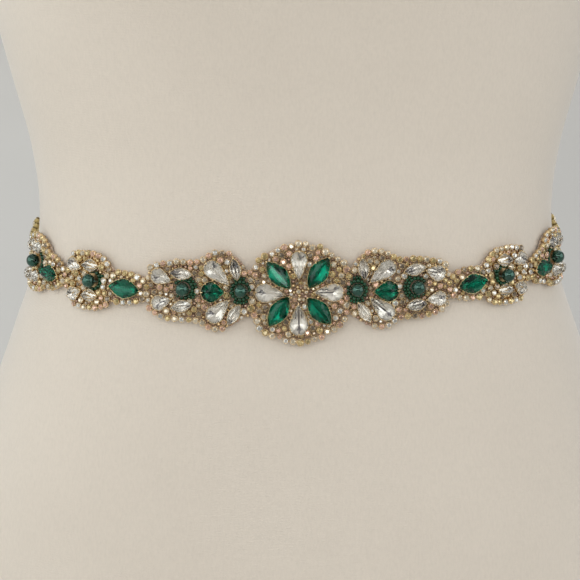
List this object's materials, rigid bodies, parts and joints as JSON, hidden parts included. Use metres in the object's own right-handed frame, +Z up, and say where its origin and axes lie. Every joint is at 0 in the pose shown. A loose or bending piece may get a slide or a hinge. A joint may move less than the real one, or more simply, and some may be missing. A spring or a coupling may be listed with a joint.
{
  "type": "bridal sash on dress form",
  "caption": "Jewelled waist sash of set clear and green stones on a narrow cloth backing with satin ribbon ends, laid round the waist of a cream limbless dress form.",
  "frame": {"origin": "centre of the form's base, on the surface it stands on, under the middle of the bounding box", "axes": "+Z up the body, -Y towards the front of the form, +X towards the viewer's right when facing the front"},
  "size_m": [0.3422, 0.2328, 0.74],
  "materials": {
    "form_cloth": "cream fine jersey, stretched smooth",
    "backing_felt": "stiff ivory felt",
    "satin_ribbon": "ivory satin ribbon with woven edges",
    "gold_setting": "polished gold plate with small champagne stones",
    "clear_crystal": "foil-backed faceted clear stone",
    "green_crystal": "foil-backed faceted emerald stone",
    "green_glass": "polished dark green glass bead"
  },
  "bodies": {
    "root": {"backing": "backing_felt", "chain_L": "gold_setting", "chain_R": "gold_setting", "flower_border": "gold_setting", "flower_centre": "gold_setting", "flower_clear_1": "clear_crystal", "flower_clear_2": "clear_crystal", "flower_clear_3": "clear_crystal", "flower_clear_4": "clear_crystal", "flower_green_1": "green_crystal", "flower_green_2": "green_crystal", "flower_green_3": "green_crystal", "flower_green_4": "green_crystal", "form_body": "form_cloth", "inner_bead_L": "green_glass", "inner_bead_R": "green_glass", "inner_clear_1_L": "clear_crystal", "inner_clear_1_R": "clear_crystal", "inner_clear_2_L": "clear_crystal", "inner_clear_2_R": "clear_crystal", "inner_clear_3_L": "clear_crystal", "inner_clear_3_R": "clear_crystal", "inner_clear_4_L": "clear_crystal", "inner_clear_4_R": "clear_crystal", "inner_teardrop_L": "green_crystal", "inner_teardrop_R": "green_crystal", "link1_border_L": "gold_setting", "link1_border_R": "gold_setting", "link1_navette_L": "green_crystal", "link1_navette_R": "green_crystal", "link2_border_L": "gold_setting", "link2_border_R": "gold_setting", "link2_navette_L": "green_crystal", "link2_navette_R": "green_crystal", "pair_bottom_L": "gold_setting", "pair_bottom_R": "gold_setting", "pair_top_L": "gold_setting", "pair_top_R": "gold_setting", "ribbon_left": "satin_ribbon", "ribbon_right": "satin_ribbon", "rosette1_bead_L": "green_glass", "rosette1_bead_R": "green_glass", "rosette1_setting_L": "gold_setting", "rosette1_setting_R": "gold_setting", "rosette2_bead_L": "green_glass", "rosette2_bead_R": "green_glass", "rosette2_setting_L": "gold_setting", "rosette2_setting_R": "gold_setting", "second_bead_L": "green_glass", "second_bead_R": "green_glass", "second_clear_1_L": "clear_crystal", "second_clear_1_R": "clear_crystal", "second_clear_2_L": "clear_crystal", "second_clear_2_R": "clear_crystal", "second_clear_3_L": "clear_crystal", "second_clear_3_R": "clear_crystal", "second_clear_4_L": "clear_crystal", "second_clear_4_R": "clear_crystal"}
  },
  "joints": []
}
